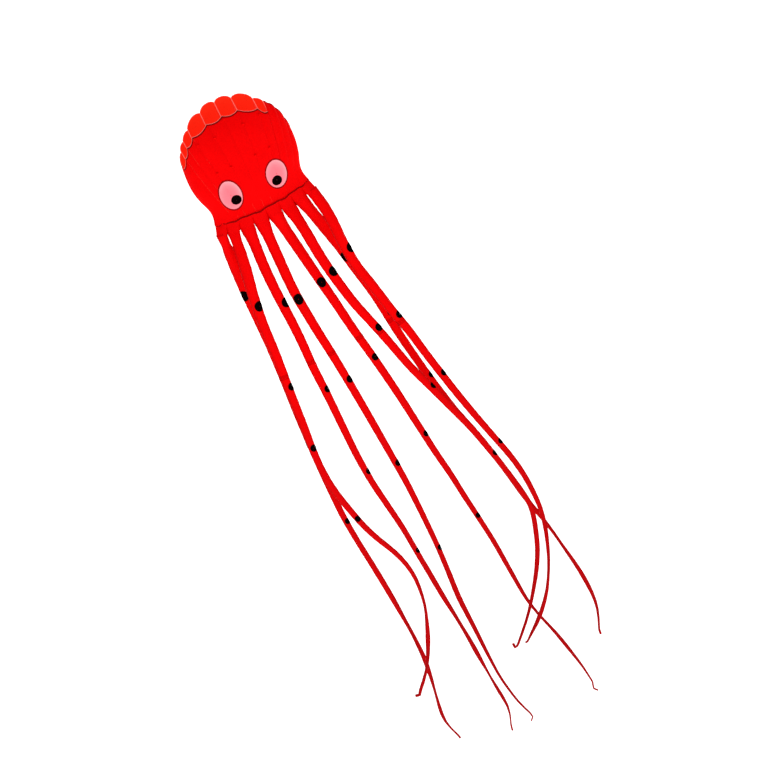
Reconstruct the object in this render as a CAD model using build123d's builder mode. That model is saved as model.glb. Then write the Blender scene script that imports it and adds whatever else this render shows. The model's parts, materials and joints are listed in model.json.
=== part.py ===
"""Frameless ram-air octopus kite: an air-filled cloth head on eight long tentacles.

Millimetres. +Z is up, the face looks along -Y, +X is to the viewer's right.
The origin is the centre of the bore of the middle bridle loop, on the brow of the face.
"""

import math
import os

from build123d import *

os.makedirs("parts", exist_ok=True)

# Cloth and trim thickness
CLOTH = 1.2
PATCH = 1.0
TAPE = 1.6
GAP = 0.4

# Middle bridle loop: bore, wall and webbing width
LOOP_BORE = 8.0
LOOP_WALL = 2.5
LOOP_WIDTH = 20.0
LOOP_STANDOFF = 4.0
TAB_LENGTH = 60.0

# Head: height over the seam line, half width, half depth of each level ellipse
BROW_HEIGHT = 1076.0
BROW_HALF_DEPTH = 174.0
HEAD_SECTIONS = [
    (-240, 634, 78),
    (-120, 612, 90),
    (0, 579, 104),
    (110, 556, 130),
    (300, 606, 186),
    (560, 644, 226),
    (780, 620, 236),
    (940, 560, 218),
    (BROW_HEIGHT, 448, BROW_HALF_DEPTH),
    (1180, 308, 118),
    (1240, 178, 68),
    (1266, 60, 22),
]
HEAD_REACH = 420

# Place of the head around the loop's bore
HEAD_Y = BROW_HALF_DEPTH + LOOP_BORE + LOOP_WALL + PATCH + GAP
SEAM_Z = -BROW_HEIGHT
HEAD_FRONT = Plane(origin=(0, HEAD_Y, SEAM_Z), x_dir=(1, 0, 0), z_dir=(0, -1, 0))

# Seam and skirt edge as shallow arcs: height at the sides, extra drop in the middle
SEAM_SAG = 66
SKIRT_DROP = 134
SKIRT_SAG = 70
HALF_SPAN = 680
SEAM_TAPE_WIDTH = 26

# Front lip of the air mouths, from the left side over the brow to the right
LIP = [
    (-690, 640), (-632, 716), (-500, 905), (-400, 1004), (-215, 1090), (0, 1112), (205, 1088),
    (400, 996), (500, 890),
]
GATE = (720, 1080)
FIELD_SIDE = 720
FIELD_TOP = 1400
LIP_HEM = 20

# The last mouths on the right turn behind the edge of the head
REAR_LIP = [(700, 590), (630, 640), (575, 760), (520, 868)]
REAR_LIP_TOP = 1060
HEM_OVERCUT = 5

# Ribs: share of the leading edge from the left end to the right end
RIB_SHARES = [0.150, 0.212, 0.283, 0.400, 0.500, 0.597, 0.720, 0.784, 0.862, 0.932]
EDGE_CENTRE_HEIGHT = 700
EDGE_HALF_WIDTH = 660
EDGE_RISE = 600
NECK_HALF_WIDTH = 540
RIB_INSET = 0.6
RIB_FOOT = 10
RIB_MOUTH_DEPTH = 150
RIB_TIP_DEPTH = 30
LIP_SHARE = 0.855
REAR_LIP_SHARE = 0.99
REAR_RIBS = 3

# Eyes: centre, half axes, lean, pupil offset
EYE_OUTLINE = 13
PUPIL_RADIUS = 54
EYES = {
    "left": {"centre": (-286, 256), "half": (132, 196), "lean": 1.5, "pupil": (35, -78)},
    "right": {"centre": (275, 244), "half": (133, 182), "lean": -9.5, "pupil": (-26, -74)},
}

# Other bridle loops, each on one of the head's level ellipses
BROW_LOOPS = [(-381, 940), (-179, 940), (174, 940), (386, 940)]
CHEEK_LOOPS = [(-321, 560), (-150, 560), (146, 560), (326, 560)]

# Tentacles: sideways place and drop under the seam line, from root to tip.
# layer is the depth of the run: the ones that cross hang in front of or behind each other.
LAYER_DEPTH = 88
LAYER_START = 460
TENTACLES = {
    "1": {
        "layer": 1,
        "route": [
            (-560, 156), (-562, 331), (-574, 640), (-588, 920), (-592, 1250), (-597, 1560),
            (-620, 1970), (-652, 2410), (-672, 2830), (-684, 3220), (-688, 3690), (-660, 4030),
            (-624, 4350), (-595, 4650), (-572, 4960), (-552, 5260), (-548, 5570), (-578, 5840),
            (-632, 6150), (-656, 6330), (-632, 6430), (-576, 6560),
        ],
    },
    "2": {
        "layer": -1,
        "route": [
            (-424, 172), (-455, 381), (-486, 596), (-517, 759), (-545, 939), (-564, 1100),
            (-582, 1294), (-590, 1568), (-622, 1970), (-652, 2410), (-672, 2830), (-661, 3212),
            (-622, 3448), (-580, 3607), (-526, 3850), (-442, 4086), (-339, 4296), (-272, 4506),
            (-252, 4726), (-289, 4983), (-379, 5229), (-486, 5476), (-610, 5704), (-704, 5850),
            (-800, 5885),
        ],
    },
    "3": {
        "layer": 0,
        "route": [
            (-262, 184), (-268, 400), (-286, 640), (-288, 872), (-284, 1123), (-271, 1379),
            (-266, 1645), (-276, 1955), (-264, 2341), (-263, 2741), (-260, 3130), (-234, 3488),
            (-191, 3772), (-144, 4098), (-115, 4448), (-85, 4726), (-62, 5038), (-32, 5305),
            (-8, 5616), (13, 5972), (32, 6230), (60, 6490), (46, 6600), (-8, 6705),
        ],
    },
    "4": {
        "layer": 0,
        "route": [
            (-88, 198), (-94, 400), (-101, 771), (-106, 962), (-101, 1173), (-82, 1362),
            (-60, 1608), (-16, 1975), (19, 2365), (51, 2759), (86, 3245), (113, 3647), (120, 4062),
            (120, 4454), (104, 4777), (88, 5113), (106, 5441), (112, 5813), (126, 6164),
            (196, 6532), (262, 6680),
        ],
    },
    "5": {
        "layer": 1,
        "route": [
            (82, 198), (112, 436), (140, 601), (165, 779), (190, 943), (227, 1196), (258, 1380),
            (314, 1791), (391, 2233), (455, 2663), (500, 3036), (555, 3503), (604, 3807),
            (635, 4096), (675, 4393), (716, 4718), (741, 5116), (768, 5514), (813, 5711),
            (898, 5980), (964, 6261), (1016, 6504), (1040, 6710),
        ],
    },
    "6": {
        "layer": -1,
        "route": [
            (250, 186), (284, 396), (299, 541), (312, 740), (334, 931), (360, 1096), (396, 1293),
            (444, 1522), (530, 1803), (622, 2141), (692, 2425), (763, 2630), (829, 2815),
            (911, 3059), (1003, 3327), (1066, 3551), (1120, 3783), (1172, 4018), (1222, 4329),
            (1238, 4497), (1207, 4658), (1100, 4987), (956, 5252), (734, 5582), (545, 5789),
            (430, 5880),
        ],
    },
    "7": {
        "layer": 1,
        "route": [
            (406, 172), (440, 300), (478, 440), (512, 590), (552, 750), (582, 897), (606, 1038),
            (636, 1222), (676, 1410), (702, 1560), (718, 1702), (743, 1950), (766, 2153),
            (814, 2455), (854, 2700), (897, 2899), (962, 3208), (1034, 3427), (1094, 3673),
            (1149, 3896), (1199, 4168), (1244, 4451), (1297, 4645), (1362, 4939), (1412, 5286),
            (1442, 5515), (1447, 5732), (1434, 5905), (1390, 6061), (1312, 6200),
        ],
    },
    "8": {
        "layer": -1,
        "route": [
            (562, 157), (596, 320), (622, 480), (632, 640), (634, 797), (642, 930), (654, 1060),
            (682, 1230), (712, 1360), (744, 1573), (776, 1730), (806, 1867), (850, 2006),
            (882, 2183), (939, 2488), (1034, 2926), (1119, 3272), (1214, 3624), (1285, 3880),
            (1328, 4122), (1342, 4350), (1330, 4580), (1253, 4871), (1136, 5198), (958, 5514),
            (725, 5770), (540, 5888),
        ],
    },
}

# Half width of a tentacle against its drop, and how flat it is
GIRTH = [(0, 68), (400, 62), (1150, 56), (2300, 43), (3500, 35), (4600, 28), (5700, 19), (6900, 10)]
ROUND_AT_ROOT = 0.74
ROUND_AT_TIP = 0.36
TIP_DROP = 6700

# Fold lines of a tentacle: at the skirt and half way down
KNEE_DROP = 2420
ROOT_CLEARANCE = 30
KNEE_CLEARANCE = 13
SHORTEST_BAY = 60

# Black spots: drop under the seam line of each one, row by row
SPOT_DROPS = {
    "1": [905, 2020, 2770, 3760],
    "2": [1035, 2030, 2780, 3740],
    "3": [1160, 2265, 3330, 4405],
    "4": [1190, 2280, 3395, 4485],
    "5": [1155, 2205, 3260, 4375],
    "6": [1060, 1875, 2760, 3770],
    "7": [1010, 1820, 2680, 3650],
    "8": [905, 1850, 2675, 3680],
}
SPOT_HALF_SHARE = [0.84, 0.78, 0.82, 0.84]


def write(builder, name):
    """Label a finished piece and write its STEP file."""
    builder.part.label = name
    export_step(builder.part, f"parts/{name}.step")


def between(table, key):
    """Value of a table of (key, value) pairs at key, straight between its rows."""
    for (low, at_low), (high, at_high) in zip(table, table[1:]):
        if key <= high:
            return at_low + (at_high - at_low) * (key - low) / (high - low)
    return table[-1][1]


def head_volume(growth):
    """The closed head shape, grown outwards by growth."""
    with BuildPart() as volume:
        for height, half_width, half_depth in HEAD_SECTIONS:
            with BuildSketch(Plane((0, HEAD_Y, SEAM_Z + height))):
                Ellipse(half_width + growth, half_depth + growth)
        loft()
    return volume.part


def head_layer(inner_growth, outer_growth):
    """A closed layer of the head's surface between two growths."""
    with BuildPart() as layer:
        add(head_volume(outer_growth))
        add(head_volume(inner_growth), mode=Mode.SUBTRACT)
    return layer.part


skin_layer = head_layer(-CLOTH, 0)
patch_layer = head_layer(GAP, GAP + PATCH)
pupil_layer = head_layer(2 * GAP + PATCH, 2 * GAP + 2 * PATCH)
tape_layer = head_layer(GAP, GAP + TAPE)
rib_volume = head_volume(-CLOTH - RIB_INSET)


def lowered(points, drop):
    """The same points, moved down by drop."""
    return [(x, z - drop) for x, z in points]


def level_arc(height, sag):
    """Shallow arc across the head, lower in the middle by sag."""
    return ThreePointArc((-HALF_SPAN, height), (0, height - sag), (HALF_SPAN, height))


# ---- Head skins ----------------------------------------------------------

with BuildPart() as face_skin:
    add(skin_layer)
    with BuildSketch(HEAD_FRONT):
        with BuildLine():
            edge = Spline(lowered(LIP, LIP_HEM))
            arc = level_arc(0, SEAM_SAG)
            Polyline(edge @ 1, GATE, (GATE[0], 0), arc @ 1)
            Line(arc @ 0, edge @ 0)
        make_face()
    extrude(amount=HEAD_REACH, mode=Mode.INTERSECT)
write(face_skin, "face_skin")

with BuildPart() as face_lip_hem:
    add(skin_layer)
    with BuildSketch(HEAD_FRONT):
        with BuildLine():
            top = Spline(LIP)
            bottom = Spline(lowered(LIP, LIP_HEM - GAP))
            Line(top @ 0, bottom @ 0)
            Line(top @ 1, bottom @ 1)
        make_face()
    extrude(amount=HEAD_REACH, mode=Mode.INTERSECT)
write(face_lip_hem, "face_lip_hem")


def upper_region():
    """Sketch lines of the area above the lip, out past the head's edge."""
    edge = Spline(LIP)
    Polyline(
        edge @ 1, GATE, (FIELD_SIDE, FIELD_TOP), (-FIELD_SIDE, FIELD_TOP),
        (-FIELD_SIDE, LIP[0][1]), edge @ 0,
    )


with BuildPart() as back_lip_hem:
    add(skin_layer)
    with BuildSketch(HEAD_FRONT.offset(-LIP_HEM)):
        with BuildLine():
            upper_region()
        make_face()
    extrude(amount=LIP_HEM, mode=Mode.INTERSECT)
write(back_lip_hem, "back_lip_hem")

with BuildPart() as back_skin:
    add(skin_layer)
    with BuildSketch(HEAD_FRONT):
        with BuildLine():
            arc = level_arc(0, SEAM_SAG)
            Polyline(arc @ 1, (HALF_SPAN, FIELD_TOP), (-HALF_SPAN, FIELD_TOP), arc @ 0)
        make_face()
    extrude(amount=-HEAD_REACH, mode=Mode.INTERSECT)
    with BuildSketch(HEAD_FRONT.offset(-LIP_HEM - GAP / 2)):
        with BuildLine():
            upper_region()
        make_face()
    extrude(amount=LIP_HEM + HEM_OVERCUT, mode=Mode.SUBTRACT)
    with BuildSketch(HEAD_FRONT):
        with BuildLine():
            rear = Spline(REAR_LIP)
            Polyline(rear @ 1, (FIELD_SIDE, REAR_LIP_TOP), (FIELD_SIDE, REAR_LIP[0][1]), rear @ 0)
        make_face()
    extrude(amount=-HEAD_REACH, mode=Mode.SUBTRACT)
write(back_skin, "back_skin")

# ---- Skirt and neck seam -------------------------------------------------

for side, reach in (("face", HEAD_REACH), ("back", -HEAD_REACH)):
    with BuildPart() as skirt:
        add(skin_layer)
        with BuildSketch(HEAD_FRONT):
            with BuildLine():
                top = level_arc(-GAP, SEAM_SAG)
                bottom = level_arc(-SKIRT_DROP, SKIRT_SAG)
                Line(top @ 0, bottom @ 0)
                Line(top @ 1, bottom @ 1)
            make_face()
        extrude(amount=reach, mode=Mode.INTERSECT)
    write(skirt, f"skirt_{side}")

with BuildPart() as neck_seam_tape:
    add(tape_layer)
    with BuildSketch(HEAD_FRONT):
        with BuildLine():
            top = level_arc(SEAM_TAPE_WIDTH / 2, SEAM_SAG)
            bottom = level_arc(-SEAM_TAPE_WIDTH / 2, SEAM_SAG)
            Line(top @ 0, bottom @ 0)
            Line(top @ 1, bottom @ 1)
        make_face()
    extrude(amount=HEAD_REACH, both=True, mode=Mode.INTERSECT)
write(neck_seam_tape, "neck_seam_tape")

# ---- Ribs between the air cells ------------------------------------------


def edge_point(share):
    """Point of the leading edge, share of the way from the left end to the right end."""
    turn = math.pi * (1 - share)
    return EDGE_HALF_WIDTH * math.cos(turn), EDGE_CENTRE_HEIGHT + EDGE_RISE * math.sin(turn)


def lip_share(share):
    """How far along a rib, from neck to leading edge, the front lip lies."""
    return LIP_SHARE if share < RIB_SHARES[-REAR_RIBS] else REAR_LIP_SHARE


for number, share in enumerate(RIB_SHARES, start=1):
    tip_x, tip_z = edge_point(share)
    foot_x = NECK_HALF_WIDTH * (2 * share - 1)
    along = Vector(tip_x - foot_x, 0, tip_z)
    plane = Plane((foot_x, HEAD_Y, SEAM_Z), x_dir=along, z_dir=along.cross(Vector(0, 1, 0)))
    reach = along.length
    lip = lip_share(share) * reach
    with BuildPart() as rib:
        with BuildSketch(plane):
            with BuildLine():
                Polyline(
                    (RIB_FOOT, -HEAD_REACH), (lip, -HEAD_REACH), (lip, -RIB_MOUTH_DEPTH),
                    (reach, RIB_TIP_DEPTH), (reach, HEAD_REACH), (RIB_FOOT, HEAD_REACH),
                    close=True,
                )
            make_face()
        extrude(amount=CLOTH / 2, both=True)
        add(rib_volume, mode=Mode.INTERSECT)
    write(rib, f"rib_{number:02d}")

# ---- Eyes ----------------------------------------------------------------

for side, eye in EYES.items():
    x, z = eye["centre"]
    half_width, half_height = eye["half"]
    with BuildPart() as patch:
        add(patch_layer)
        with BuildSketch(HEAD_FRONT):
            with Locations(Location((x, z, 0), (0, 0, eye["lean"]))):
                Ellipse(half_width - EYE_OUTLINE, half_height - EYE_OUTLINE)
        extrude(amount=HEAD_REACH, mode=Mode.INTERSECT)
    write(patch, f"eye_white_{side}")
    with BuildPart() as outline:
        add(patch_layer)
        with BuildSketch(HEAD_FRONT):
            with Locations(Location((x, z, 0), (0, 0, eye["lean"]))):
                Ellipse(half_width, half_height)
                Ellipse(half_width - EYE_OUTLINE + GAP, half_height - EYE_OUTLINE + GAP, mode=Mode.SUBTRACT)
        extrude(amount=HEAD_REACH, mode=Mode.INTERSECT)
    write(outline, f"eye_outline_{side}")
    with BuildPart() as pupil:
        add(pupil_layer)
        with BuildSketch(HEAD_FRONT):
            with Locations((x + eye["pupil"][0], z + eye["pupil"][1])):
                Circle(PUPIL_RADIUS)
        extrude(amount=HEAD_REACH, mode=Mode.INTERSECT)
    write(pupil, f"pupil_{side}")

# ---- Bridle loops --------------------------------------------------------


def surface_y(x, height):
    """Depth of the face's surface at x on one of the head's level ellipses."""
    for level, half_width, half_depth in HEAD_SECTIONS:
        if level == height:
            return HEAD_Y - half_depth * math.sqrt(1 - (x / half_width) ** 2)
    raise ValueError(height)


def loop_section(ring_y, ring_z, foot):
    """Section of a ring of webbing, with the foot of that length that joins it to its tab."""
    with BuildSketch() as section:
        with Locations((ring_y, ring_z)):
            Circle(LOOP_BORE + LOOP_WALL)
            with Locations((LOOP_BORE + LOOP_WALL / 2 + foot / 2, 0)):
                Rectangle(LOOP_WALL + foot, LOOP_WALL)
            Circle(LOOP_BORE, mode=Mode.SUBTRACT)
    return section.sketch


for name, places, standoff in (
    ("bridle_loop_centre", [(0, BROW_HEIGHT)], 0),
    ("bridle_loops_brow", BROW_LOOPS, LOOP_STANDOFF),
    ("bridle_loops_cheek", CHEEK_LOOPS, LOOP_STANDOFF),
):
    with BuildPart() as loops:
        add(patch_layer)
        with BuildSketch(HEAD_FRONT):
            with Locations([(x, height - TAB_LENGTH / 4) for x, height in places]):
                Rectangle(LOOP_WIDTH, TAB_LENGTH)
        extrude(amount=HEAD_REACH, mode=Mode.INTERSECT)
        for x, height in places:
            ring_y = surface_y(x, height) - GAP - PATCH - standoff - LOOP_WALL - LOOP_BORE
            with BuildSketch(Plane.YZ.offset(x)):
                add(loop_section(ring_y, SEAM_Z + height, standoff + PATCH / 2))
            extrude(amount=LOOP_WIDTH / 2, both=True)
        add(head_volume(GAP), mode=Mode.SUBTRACT)
    write(loops, name)

# ---- Tentacles -----------------------------------------------------------


def run_depth(layer, drop):
    """Depth of a tentacle's middle: it leaves the skirt on the hinge line and moves to its layer."""
    share = min(1, max(0, (drop - SKIRT_DROP) / LAYER_START))
    return HEAD_Y + layer * LAYER_DEPTH * share * share * (3 - 2 * share)


def half_sizes(drop):
    """Half width and half depth of a tentacle at a drop."""
    half_width = between(GIRTH, drop)
    roundness = ROUND_AT_ROOT + (ROUND_AT_TIP - ROUND_AT_ROOT) * min(1, drop / TIP_DROP)
    return half_width, half_width * roundness


def place_at(route, drop):
    """Sideways place of a route at a drop, straight between its points."""
    return between([(z, x) for x, z in route], drop)


def section_plane(point, direction):
    """Plane across a tentacle at a point, its x axis across the width."""
    return Plane(point, x_dir=Vector(0, 1, 0).cross(direction), z_dir=direction)


def tube(stations):
    """A closed cloth tube through stations of (point, direction, half width, half depth)."""
    with BuildPart() as outer:
        for point, direction, half_width, half_depth in stations:
            with BuildSketch(section_plane(point, direction)):
                Ellipse(half_width, half_depth)
        loft(ruled=True)
        for point, direction, half_width, half_depth in stations[:-1]:
            with BuildSketch(section_plane(point, direction)):
                Ellipse(half_width - CLOTH, half_depth - CLOTH)
        loft(ruled=True, mode=Mode.SUBTRACT)
    return outer.part


def segment(name, layer, route, top, bottom, flat_top, flat_bottom):
    """Write the cloth tube of one tentacle between two drops. Flat ends are level."""
    bends = sorted([drop for _, drop in route] + [SKIRT_DROP + LAYER_START])
    inner = [drop for drop in bends if top + SHORTEST_BAY < drop < bottom - SHORTEST_BAY]
    drops = [top, *inner, bottom]
    points = [Vector(place_at(route, drop), run_depth(layer, drop), SEAM_Z - drop) for drop in drops]
    stations = []
    for index, (drop, point) in enumerate(zip(drops, points)):
        before = points[max(0, index - 1)]
        after = points[min(len(points) - 1, index + 1)]
        direction = (before - after).normalized()
        if (index == 0 and flat_top) or (index == len(points) - 1 and flat_bottom):
            direction = Vector(0, 0, 1)
        stations.append((point, direction, *half_sizes(drop)))
    with BuildPart() as piece:
        add(tube(stations))
    write(piece, name)


def spot_group(name, layer, route, spots):
    """Write thin round patches that sit on the front of one stretch of a tentacle."""
    with BuildPart() as group:
        for drop, share in spots:
            radius = half_sizes(drop)[0] * share
            near = [drop - radius, drop, drop + radius]
            y = min(run_depth(layer, level) - half_sizes(level)[1] for level in near) - GAP
            centre = (place_at(route, drop), y, SEAM_Z - drop)
            with BuildSketch(Plane(centre, x_dir=(1, 0, 0), z_dir=(0, -1, 0))):
                Circle(radius)
            extrude(amount=PATCH)
    write(group, name)


for number, tentacle in TENTACLES.items():
    layer = tentacle["layer"]
    route = tentacle["route"]
    root_drop = route[0][1]
    tip_drop = route[-1][1]
    segment(f"tentacle_{number}_upper", layer, route,
            root_drop + ROOT_CLEARANCE, KNEE_DROP - KNEE_CLEARANCE, True, True)
    segment(f"tentacle_{number}_lower", layer, route,
            KNEE_DROP + KNEE_CLEARANCE, tip_drop, True, False)
    spots = list(zip(SPOT_DROPS[number], SPOT_HALF_SHARE))
    spot_group(f"spots_{number}_upper", layer, route, [s for s in spots if s[0] < KNEE_DROP])
    spot_group(f"spots_{number}_lower", layer, route, [s for s in spots if s[0] > KNEE_DROP])
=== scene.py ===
"""Looks of the octopus kite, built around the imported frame. Metres, in the frame of the CAD."""

import json
import math

import bmesh
import bpy
import numpy as np
from mathutils import Matrix, Vector
from mathutils.bvhtree import BVHTree


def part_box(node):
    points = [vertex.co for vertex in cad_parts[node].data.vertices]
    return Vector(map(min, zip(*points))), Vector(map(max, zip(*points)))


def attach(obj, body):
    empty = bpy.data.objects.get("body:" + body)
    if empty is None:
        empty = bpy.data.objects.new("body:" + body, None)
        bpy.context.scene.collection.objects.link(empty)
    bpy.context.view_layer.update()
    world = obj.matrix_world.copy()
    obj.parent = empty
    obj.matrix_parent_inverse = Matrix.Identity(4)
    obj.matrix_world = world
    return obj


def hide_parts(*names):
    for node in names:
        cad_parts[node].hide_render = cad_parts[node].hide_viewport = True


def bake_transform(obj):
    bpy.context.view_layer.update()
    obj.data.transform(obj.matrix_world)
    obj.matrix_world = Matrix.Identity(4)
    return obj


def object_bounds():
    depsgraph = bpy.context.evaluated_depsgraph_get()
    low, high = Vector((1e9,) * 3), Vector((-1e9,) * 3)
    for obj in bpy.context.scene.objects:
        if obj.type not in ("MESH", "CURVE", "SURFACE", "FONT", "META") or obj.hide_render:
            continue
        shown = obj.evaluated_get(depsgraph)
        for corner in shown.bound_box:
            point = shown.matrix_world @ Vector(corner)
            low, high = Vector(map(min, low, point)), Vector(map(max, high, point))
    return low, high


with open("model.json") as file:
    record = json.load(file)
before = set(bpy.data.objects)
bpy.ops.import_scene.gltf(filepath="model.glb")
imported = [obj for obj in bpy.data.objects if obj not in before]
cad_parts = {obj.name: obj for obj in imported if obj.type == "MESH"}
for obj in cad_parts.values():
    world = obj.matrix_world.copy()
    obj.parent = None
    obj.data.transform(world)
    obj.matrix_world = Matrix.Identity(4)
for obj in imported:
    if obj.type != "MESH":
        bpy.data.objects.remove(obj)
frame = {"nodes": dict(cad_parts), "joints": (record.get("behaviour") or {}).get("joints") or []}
cad_low, cad_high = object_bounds()
rng = np.random.default_rng(8)

# --- driving sizes

HEAD_HEIGHT = 1.266  # seam line to crown
SEAM_SAG = 0.066  # the seam hangs this much lower in the middle
SKIRT_DROP = 0.134  # seam line to the top of the outermost slots
SKIRT_SAG = 0.070  # the slots start this much lower in the middle
SAG_HALF_SPAN = 0.680  # where both arcs are back at their side height
CLOTH = 0.0012
NECK_PUCKERS = 46
NECK_WIDTH = 1.16  # the puckers are spread over this width
PUCKER_RATE = NECK_PUCKERS * 2 * math.pi / NECK_WIDTH
PANEL_SEAM_DROP = 1.90  # the two panels of a tentacle are sewn together here

back_low, back_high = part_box("back_skin")
HEAD_Y = back_low.y
SEAM_Z = back_high.z - HEAD_HEIGHT


def place(name, data):
    """A new object in the scene."""
    item = bpy.data.objects.new(name, data)
    bpy.context.scene.collection.objects.link(item)
    return item


# --- camera

CAMERA_AZIMUTH = math.radians(-4)
CAMERA_ELEVATION = math.radians(15)
CAMERA_ROLL = math.radians(-25.5)
FRAME_WIDTH = 8.44  # metres across the picture at the kite
LENS = 900  # millimetres, as is the sensor
SENSOR = 36
FAR_CLIP = 1500
AIM_RIGHT = 0.336  # picture centre, from the middle of the seam line
AIM_DOWN = 2.360


def make_camera():
    data = bpy.data.cameras.new("camera")
    data.lens = LENS
    data.sensor_width = SENSOR
    data.clip_end = FAR_CLIP
    camera = place("camera", data)
    back = Vector((
        math.sin(CAMERA_AZIMUTH) * math.cos(CAMERA_ELEVATION),
        -math.cos(CAMERA_AZIMUTH) * math.cos(CAMERA_ELEVATION),
        math.sin(CAMERA_ELEVATION),
    ))
    upright = (-back).to_track_quat("-Z", "Y").to_matrix()
    aim = Vector((0, HEAD_Y, SEAM_Z)) + upright @ Vector((AIM_RIGHT, -AIM_DOWN, 0))
    distance = FRAME_WIDTH * LENS / SENSOR
    rolled = upright @ Matrix.Rotation(CAMERA_ROLL, 3, "Z")
    camera.matrix_world = Matrix.Translation(aim + back * distance) @ rolled.to_4x4()
    bpy.context.scene.camera = camera


make_camera()

# --- materials


def new_material(name):
    material = bpy.data.materials.new(name)
    material.use_nodes = True
    tree = material.node_tree
    tree.nodes.clear()
    output = tree.nodes.new("ShaderNodeOutputMaterial")
    shader = tree.nodes.new("ShaderNodeBsdfPrincipled")
    tree.links.new(shader.outputs["BSDF"], output.inputs["Surface"])
    return material, tree, shader


def set_inputs(node, values):
    for name, value in values.items():
        node.inputs[name].default_value = value


def math_node(tree, operation, first, second=None):
    """A math operation on sockets or numbers."""
    node = tree.nodes.new("ShaderNodeMath")
    node.operation = operation
    for socket, value in zip(node.inputs, (first, second)):
        if value is None:
            continue
        if isinstance(value, (int, float)):
            socket.default_value = value
        else:
            tree.links.new(value, socket)
    return node.outputs[0]


def noise_node(tree, vector, scale, detail=3.0, roughness=0.55):
    node = tree.nodes.new("ShaderNodeTexNoise")
    set_inputs(node, {"Scale": scale, "Detail": detail, "Roughness": roughness})
    tree.links.new(vector, node.inputs["Vector"])
    return node.outputs["Fac"]


def attribute_node(tree, name):
    node = tree.nodes.new("ShaderNodeAttribute")
    node.attribute_name = name
    return node.outputs["Fac"]


def bump_node(tree, height, strength, distance, under=None):
    """Normals bumped by a height, laid over other normals if they are given."""
    node = tree.nodes.new("ShaderNodeBump")
    set_inputs(node, {"Strength": strength, "Distance": distance})
    tree.links.new(height, node.inputs["Height"])
    if under is not None:
        tree.links.new(under, node.inputs["Normal"])
    return node.outputs["Normal"]


def mix_colour(tree, factor, first, second):
    """From the first colour to the second, by the factor."""
    node = tree.nodes.new("ShaderNodeMix")
    node.data_type = "RGBA"
    tree.links.new(factor, node.inputs["Factor"])
    for name, value in (("A", first), ("B", second)):
        socket = [s for s in node.inputs if s.name == name and s.type == "RGBA"][0]
        if isinstance(value, tuple):
            socket.default_value = (*value, 1)
        else:
            tree.links.new(value, socket)
    return [s for s in node.outputs if s.type == "RGBA"][0]


RIP_GRID = 0.006  # spacing of the thicker threads
RIP_WIDTH = 0.07  # half of a thicker thread, as a share of the spacing
THREADS_PER_RIP = 9
DYE_SHARE = 0.55  # how far each effect moves the colour
WORN_SHARE = 0.10
RIP_SHARE = 0.22
SEAM_AND_SHADE_SHARE = 0.65
FADE_SHARE = 0.9
SEAM_AND_SHADE_DARKER = 0.45  # a sewn line, and the painted shade along a tube's sides, as a share of the shade colour
# colour of the painted highlight that makes a patch's rim paler
RIM_HIGHLIGHT_COLOUR = (1.0, 0.62, 0.64)


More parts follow.
